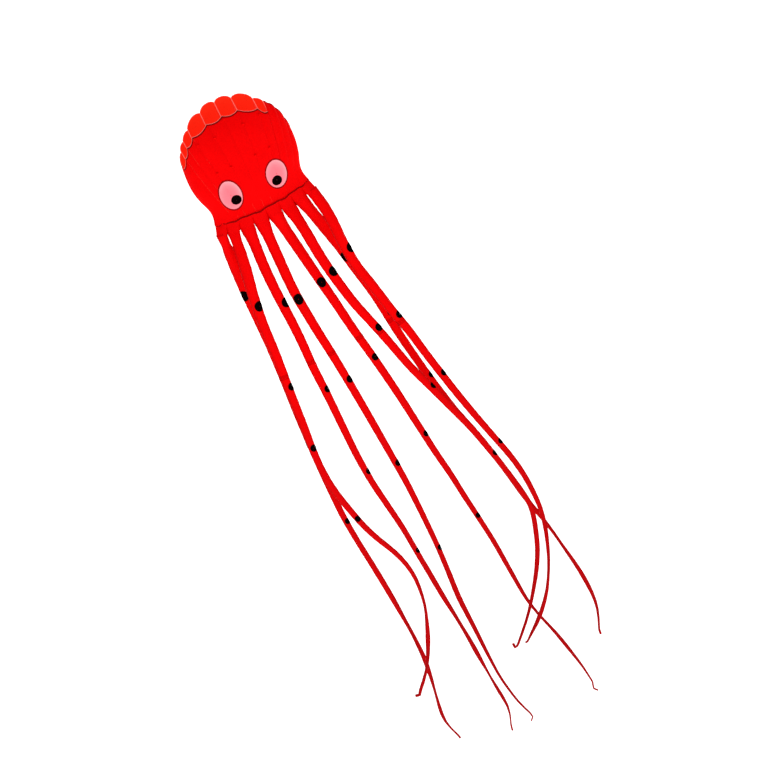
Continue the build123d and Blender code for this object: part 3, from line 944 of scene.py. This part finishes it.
EYE_LEAN = {"left": math.radians(1.5), "right": math.radians(-9.5)}
EYE_HALF = {"left": (0.132, 0.196), "right": (0.133, 0.182)}
OUTLINE_SHARE = 0.91  # the dark outline covers the eye from here out
PUPIL_HEM = 0.005  # the turned edge outside the pupil's stitching


def front_centre(name):
    """Centre of a CAD node in the front view, as x and level, and half its width."""
    low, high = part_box(name)
    return ((low.x + high.x) / 2, (low.z + high.z) / 2 - SEAM_Z), (high.x - low.x) / 2


for side in ("left", "right"):
    centre, _ = front_centre(f"eye_outline_{side}")
    half, lean = EYE_HALF[side], EYE_LEAN[side]
    make_patch(f"eye_patch_{side}", eye_cloth, f"eye_white_{side}",
               oval(centre, half, lean, 0.02, 0.95, 0.0020, 14))
    make_patch(f"eye_ring_{side}", outline_cloth, f"eye_outline_{side}",
               oval(centre, half, lean, OUTLINE_SHARE, 1.0, 0.0032, 5))
    centre, radius = front_centre(f"pupil_{side}")
    radius += PUPIL_HEM
    make_patch(f"pupil_patch_{side}", black_cloth, f"pupil_{side}",
               oval(centre, (radius, radius), 0, 0.03, 1.0, 0.0036, 8, 48))

# --- tentacles

GIRTH = [  # half width of a tube, by drop below the seam line
    (0, 0.070), (0.4, 0.062), (1.15, 0.055), (2.3, 0.0455), (3.1, 0.040), (4.0, 0.033),
    (4.6, 0.029), (5.2, 0.028), (5.9, 0.023), (6.4, 0.019), (6.9, 0.015),
]
BULGES = {  # fuller or slimmer stretches: share of the girth, middle, spread
    "1": ((0.07, 0.66, 0.24), (-0.16, 0.27, 0.08), (0.30, 5.0, 0.55)),
    "2": ((0.08, 0.66, 0.24), (-0.16, 0.27, 0.08)),
    "3": ((0.22, 5.2, 0.60),),
    "4": ((0.12, 5.4, 0.70),),
    "7": ((0.08, 0.66, 0.24),),
}
DRIFT = {  # sideways wander of a filled tube off its cut line, by drop
    "2": ((2.5, 0.0), (3.0, -0.022), (3.7, -0.018), (4.2, 0.0), (4.8, -0.010), (5.3, 0.0)),
    "3": ((4.2, 0.0), (4.8, -0.007), (5.6, 0.0)),
    "4": ((4.8, 0.0), (5.4, -0.010), (6.6, -0.008)),
    "6": ((4.0, 0.0), (4.5, 0.016), (5.2, 0.014), (5.6, 0.0)),
    "7": ((5.0, 0.0), (5.6, 0.012), (6.2, 0.036)),
    "8": ((0.35, 0.0), (0.75, -0.020), (1.15, -0.022), (1.6, 0.0),
          (4.4, 0.0), (4.8, 0.022), (5.5, 0.024), (5.9, 0.012)),
}
CURL = {  # how the thin end of each tail curls, sideways and down from the cut tip
    "1": ((0.010, -0.045),),
    "2": ((-0.048, 0.012),),
    "3": ((-0.012, -0.068),),
    "4": ((0.009, -0.055), (-0.028, -0.091)),
    "5": ((-0.022, -0.075), (0.015, -0.118)),
    "6": ((-0.036, -0.011), (-0.037, 0.045)),
    "7": ((-0.004, -0.050),),
    "8": ((-0.030, -0.002),),
}
SPOT_TURNS = {  # how far each spot is turned to the right of the front's middle
    "1": (-0.8, 0.8, -1.0, 0.6),
    "2": (0.5, 0.8, 0.4, 0.1),
    "3": (0.9, 0.8, 0.9, 0.9),
    "4": (0.0, 0.7, 0.8, 0.8),
    "5": (0.0, 0.5, 0.8, 0.4),
    "6": (0.6, 0.6, 1.1, 1.0),
    "7": (-0.35, 1.1, 1.1, 1.0),
    "8": (1.1, 0.9, 0.9, 1.0),
}
SPOT_STRETCH = 1.22  # the spots are longer than wide
SPOT_SIZE = 1.04  # and a little larger than in the CAD
LARGE_SPOTS = {"4": 1.12}
SPOT_LIFT = 0.0016
TAPER = ((0, 1), (0.96, 1), (1, 0.7))  # how the tip narrows, by share of the length
FLATNESS = ((0, 0.74), (0.35, 0.66), (0.62, 0.62), (1, 0.70))  # depth over width
TWIST_START = 0.62  # share of the length from which a tail twists
FLARE = 0.12  # length over which a lobe of the skirt narrows to the tube
INSIDE_SKIRT = 0.0016  # room between a tube and the skirt round it
TUCK = 0.030  # a tentacle starts this far up inside the skirt
SECTION_POINTS = 24
RING_STEP = 0.026
CENTRE_STEP = 0.10
SMOOTH_PASSES = 1
SEAM_AND_SIDE_SHADE_WIDTH = 0.5  # how far round a tube the dark of its two seams reaches, widened into painted shade along its sides
# The tails keep the painted glow of the red cloth.
dark_red = ripstop("red_ripstop_lower", RED, RED_SHADE, RED_GLOW, 0.25, 0.05,
                   fade=(0.0, 4.4, (0.36, 0.004, 0.006)))
point_cache = {}
edge_cache = {}


def slice_centre(name, z):
    """Centre of a CAD node's cut at a height, or None."""
    mesh = frame["nodes"][name].data
    points = point_cache.setdefault(name, np.array([v.co for v in mesh.vertices]))
    edges = edge_cache.setdefault(name, np.array([e.vertices[:] for e in mesh.edges]))
    first, second = points[edges[:, 0]], points[edges[:, 1]]
    crossing = (first[:, 2] - z) * (second[:, 2] - z) < 0
    first, second = first[crossing], second[crossing]
    if len(first) < 6:
        return None
    share = ((z - first[:, 2]) / (second[:, 2] - first[:, 2]))[:, None]
    cut = first + (second - first) * share
    return (cut.min(0) + cut.max(0)) / 2


def centreline(number):
    """Smooth middle line of a tentacle, by arc length, from the skirt's edge to the tip."""
    start = ROOTS[number]
    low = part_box(f"tentacle_{number}_lower")[0].z
    points = [np.array(start) + [0, 0, TUCK], np.array(start)]
    z = start.z - CENTRE_STEP
    while z > low + 0.02:
        centre = slice_centre(f"tentacle_{number}_upper", z)
        if centre is None:
            centre = slice_centre(f"tentacle_{number}_lower", z)
        if centre is not None:
            points.append(centre)
        z -= CENTRE_STEP
    end = slice_centre(f"tentacle_{number}_lower", low + 0.006)
    if end is not None:
        points.append(end)
    points = np.array(points)
    for _ in range(SMOOTH_PASSES):
        points[2:-1] = (points[1:-2] + 2 * points[2:-1] + points[3:]) / 4
    if number in DRIFT:
        points[:, 0] += read(DRIFT[number], SEAM_Z - points[:, 2])
    curl = [points[-1] + np.array([right, 0, up]) for right, up in CURL[number]]
    points = np.concatenate([points, curl])
    length = np.concatenate([[0], steps(points, 0).cumsum()])
    count = int(length[-1] / RING_STEP)
    even = np.linspace(0, length[-1], count)
    return np.stack([np.interp(even, length, points[:, k]) for k in range(3)], 1), even


class Tentacle:
    """Surface of one tentacle: points at an arc length and an angle round it."""

    def __init__(self, number):
        self.number = number
        self.phase = rng.uniform(0, 2 * math.pi, 6)
        self.line, self.length = centreline(number)
        along = self.length / self.length[-1]
        self.drop = SEAM_Z - self.line[:, 2]
        tangent = unit(np.gradient(self.line, axis=0))
        across = unit(np.cross([0.0, 1.0, 0.0], -tangent))
        toward = np.cross(tangent, across)
        share = np.clip((along - TWIST_START) / (1 - TWIST_START), 0, 1)
        twist = share ** 2 * (1.6 + 1.4 * math.sin(self.phase[0])) * math.pi
        twist += 0.20 * share ** 0.5 * np.sin(3.1 * self.length + self.phase[1])
        cos, sin = np.cos(twist)[:, None], np.sin(twist)[:, None]
        self.across = across * cos + toward * sin
        self.toward = toward * cos - across * sin
        root_half = (SLOTS[int(number)] - SLOTS[int(number) - 1]) / 2
        flare = np.exp(-((np.maximum(self.length - TUCK, 0) / FLARE) ** 2))
        narrow = read(GIRTH, self.drop) * read(TAPER, along) * (1 - flare)
        self.half_width = narrow + (root_half - INSIDE_SKIRT) * flare
        for amount, middle, spread in BULGES.get(number, ()):
            self.half_width *= 1 + amount * np.exp(-(((self.drop - middle) / spread) ** 2))
        flattened = self.half_width * read(FLATNESS, along) * (1 - flare)
        self.half_depth = flattened + (TUBE_DEPTH_AT_SKIRT - INSIDE_SKIRT) * flare

    def at(self, index, values):
        """A value that each ring has, at fractional ring indexes."""
        return np.interp(index, np.arange(len(values)), values)

    def point(self, index, angle, lift=0.0):
        """Points for fractional ring indexes and angles, both arrays of one shape."""
        middle, across, toward = (
            np.stack([self.at(index, column) for column in values.T], -1)
            for values in (self.line, self.across, self.toward)
        )
        wide, deep = self.at(index, self.half_width), self.at(index, self.half_depth)
        along = self.at(index, self.length)
        p = self.phase
        pucker = np.sin(62 * along + 3 * np.sin(5 * along + p[2])) * np.sin(17 * along + p[3])
        side = np.abs(np.cos(angle)) ** 3
        ripple = 1 + 0.030 * pucker * side
        dent = 1 + 0.085 * np.sin(4.3 * along + p[4]) * np.sin(2 * angle + 7.1 * along + p[5])
        dent += 0.05 * np.sin(11.0 * along + p[1]) * np.sin(angle + p[0])
        seam = 1 + 0.035 * np.exp(-((np.sin(angle) / 0.16) ** 2))
        a = (wide * ripple * seam + lift) * np.cos(angle)
        b = (deep * dent + lift) * np.sin(angle)
        return middle + across * a[..., None] + toward * b[..., None]

    def ring_at(self, drop):
        """Ring index at a drop below the seam line."""
        return float(np.interp(drop, self.drop, np.arange(len(self.drop))))


def tube_piece(tentacle, name, first, last, tip):
    """A stretch of a tentacle as a thin open tube, darker where its two panels are sewn and with
    painted shade along its sides.
    """
    indexes = np.arange(first, last + 1.0)
    grid_index, grid_angle = np.meshgrid(indexes, full_turn(SECTION_POINTS), indexing="ij")
    points = tentacle.point(grid_index, grid_angle)
    # seams along both sides, widened into painted shade at the tube's edges
    seam = np.exp(-((np.sin(grid_angle) / SEAM_AND_SIDE_SHADE_WIDTH) ** 2))
    joint = first if tip else last
    seam = np.maximum(seam, 0.35 * np.exp(-(((grid_index - joint) / 1.2) ** 2)))
    cloth = Cloth().grid(points, closed=True, seam=seam)
    tube = cloth.make(name, [dark_red if tip else red, backlit_inside_red], inner_slot=1, weld=False)
    declare(np.concatenate([points, points[:, :1]], 1))
    return tube


def spot_piece(tentacle, name, node, drops, shares, turns):
    """Black patches on a tentacle, each with its drop, share of the tube's width and turn."""
    cloth = Cloth()
    grids = []
    for drop, share, turned in zip(drops, shares, turns):
        middle = tentacle.ring_at(drop)
        wide = tentacle.at(middle, tentacle.half_width)
        deep = tentacle.at(middle, tentacle.half_depth)
        radius = wide * share * LARGE_SPOTS.get(tentacle.number, SPOT_SIZE)
        rows = []
        for ring in np.linspace(0.04, 1, 8):
            turn = full_turn(40)
            index = middle + SPOT_STRETCH * radius * ring * np.sin(turn) / RING_STEP
            angle = math.pi / 2 - turned + radius * ring * np.cos(turn) / ((wide + deep) / 2)
            rows.append(tentacle.point(index, angle, SPOT_LIFT))
        grids.append(np.array(rows))
        cloth.grid(grids[-1], closed=True)
    spots = cloth.make(name, [black_cloth], thickness=PATCH)
    arm = f"arm_{tentacle.number}"
    declare_ring(spots, *grids, rests_on=[f"{arm}_top", f"{arm}_tail"])
    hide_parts(node)
    return spots


def spot_drops(node):
    """Drops and half-size shares of a CAD node's spots, from its separate solids."""
    mesh = frame["nodes"][node].data
    heights = np.sort(np.array([v.co.z for v in mesh.vertices]))
    gap = int(np.argmax(np.diff(heights)))
    groups = [heights[gap + 1:], heights[:gap + 1]]
    drops = [SEAM_Z - (g.min() + g.max()) / 2 for g in groups]
    radii = [(g.max() - g.min()) / 2 for g in groups]
    return drops, [r / read(GIRTH, d) for r, d in zip(radii, drops)]


def make_tentacle(number):
    """Both stretches of a tentacle and the spots on them."""
    tentacle = Tentacle(number)
    seam_ring = math.ceil(tentacle.ring_at(PANEL_SEAM_DROP))
    last_ring = len(tentacle.drop) - 1
    top = tube_piece(tentacle, f"arm_{number}_top", 0, seam_ring + 1, False)
    tail = tube_piece(tentacle, f"arm_{number}_tail", seam_ring - 1, last_ring, True)
    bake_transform(top)
    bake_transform(tail)
    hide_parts(f"tentacle_{number}_upper")
    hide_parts(f"tentacle_{number}_lower")
    for part in ("upper", "lower"):
        node = f"spots_{number}_{part}"
        turns = SPOT_TURNS[number][:2] if part == "upper" else SPOT_TURNS[number][2:]
        spots = spot_piece(tentacle, f"dots_{number}_{part}", node, *spot_drops(node), turns)
        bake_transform(spots)


for number in NUMBERS:
    make_tentacle(number)

# --- carried-over loops

for name in ("bridle_loop_centre", "bridle_loops_brow", "bridle_loops_cheek"):
    loop = frame["nodes"][name]
    loop.data.materials.clear()
    loop.data.materials.append(loop_cloth)

# --- floor and light

FLOOR_DROP = 1.6  # below the lowest tip
FLOOR_HALF = 400
WORLD_STRENGTH = 0.42
SUNS = (  # direction of the light, spread in degrees, strength
    ("key", (0.55, 0.70, -0.60), 35, 0.62),
    ("fill", (-0.70, 0.60, -0.15), 60, 0.25),
    ("back", (-0.10, -0.80, -0.55), 50, 0.8),
)


def make_stage():
    """A white floor that fills the picture, a white world and three soft suns."""
    mesh = bpy.data.meshes.new("floor")
    z = cad_low.z - FLOOR_DROP
    corners = [(FLOOR_HALF * x, FLOOR_HALF * y, z) for x, y in ((-1, -1), (1, -1), (1, 1), (-1, 1))]
    mesh.from_pydata(corners, [], [(0, 1, 2, 3)])
    floor = place("floor", mesh)
    material, _, shader = new_material("floor_paper")
    set_inputs(shader, {
        "Base Color": (0.9, 0.9, 0.9, 1),
        "Roughness": 0.9,
        "Emission Color": (1, 1, 1, 1),
        "Emission Strength": 0.9,
    })
    mesh.materials.append(material)
    world = bpy.data.worlds.new("studio")
    bpy.context.scene.world = world
    world.use_nodes = True
    background = world.node_tree.nodes["Background"]
    set_inputs(background, {"Color": (1, 1, 1, 1), "Strength": WORLD_STRENGTH})
    for name, direction, spread, power in SUNS:
        data = bpy.data.lights.new(name, "SUN")
        data.angle = math.radians(spread)
        data.energy = power
        light = place(name, data)
        light.rotation_euler = Vector(direction).to_track_quat("-Z", "Y").to_euler()


make_stage()
bpy.context.scene.view_settings.view_transform = "Standard"
